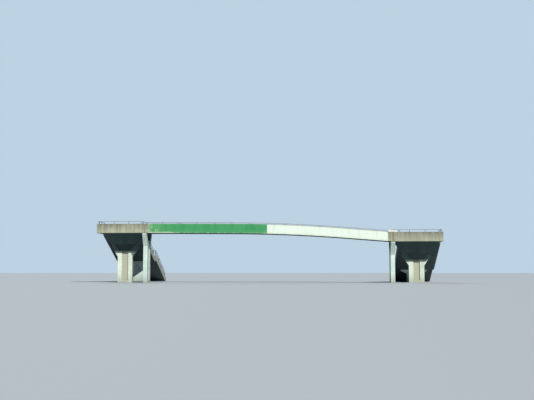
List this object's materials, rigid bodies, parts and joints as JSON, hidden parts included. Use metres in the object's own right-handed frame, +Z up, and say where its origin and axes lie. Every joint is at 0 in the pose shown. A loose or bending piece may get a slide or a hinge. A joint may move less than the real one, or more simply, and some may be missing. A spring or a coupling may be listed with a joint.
{
  "type": "motorway footbridge with stairs",
  "caption": "Concrete footbridge over a motorway: a painted trough deck on forked piers, level end landings and a stair running back from each.",
  "frame": {"origin": "on the ground, in the middle of the whole outline", "axes": "+X along the bridge, +Y away from the painted side, +Z up"},
  "size_m": [38.3, 15.9, 6.84],
  "materials": {
    "raw_concrete": "board-marked, weathered",
    "pier_concrete": "fair-faced, pale",
    "asphalt": "rolled asphalt",
    "green_coat": "matt masonry paint",
    "white_coat": "matt masonry paint",
    "joint_rubber": "matt",
    "galvanised_steel": "hot-dip galvanised",
    "plate_paint": "satin"
  },
  "bodies": {
    "root": {"girder_front": "raw_concrete", "girder_rear": "raw_concrete", "deck_slab": "raw_concrete", "deck_surfacing": "asphalt", "paint_green": "green_coat", "paint_white": "white_coat", "joint_strip_left": "joint_rubber", "joint_strip_right": "joint_rubber", "bearings_left": "joint_rubber", "bearings_right": "joint_rubber", "main_pier_left": "pier_concrete", "stair_pier_left": "pier_concrete", "landing_slab_left": "raw_concrete", "landing_front_left": "raw_concrete", "landing_end_left": "raw_concrete", "landing_rear_left": "raw_concrete", "waist_upper_left": "raw_concrete", "treads_upper_left": "raw_concrete", "mid_landing_left": "raw_concrete", "mid_pier_left": "pier_concrete", "waist_lower_left": "raw_concrete", "treads_lower_left": "raw_concrete", "stringer_outer_left": "raw_concrete", "stringer_inner_left": "raw_concrete", "handrail_stair_left": "galvanised_steel", "handrail_landing_left": "galvanised_steel", "main_pier_right": "pier_concrete", "stair_pier_right": "pier_concrete", "landing_slab_right": "raw_concrete", "landing_front_right": "raw_concrete", "landing_end_right": "raw_concrete", "landing_rear_right": "raw_concrete", "waist_upper_right": "raw_concrete", "treads_upper_right": "raw_concrete", "mid_landing_right": "raw_concrete", "mid_pier_right": "pier_concrete", "waist_lower_right": "raw_concrete", "treads_lower_right": "raw_concrete", "stringer_outer_right": "raw_concrete", "stringer_inner_right": "raw_concrete", "handrail_stair_right": "galvanised_steel", "handrail_landing_right": "galvanised_steel", "handrail_front": "galvanised_steel", "handrail_rear": "galvanised_steel", "rail_plate": "plate_paint"}
  },
  "joints": []
}
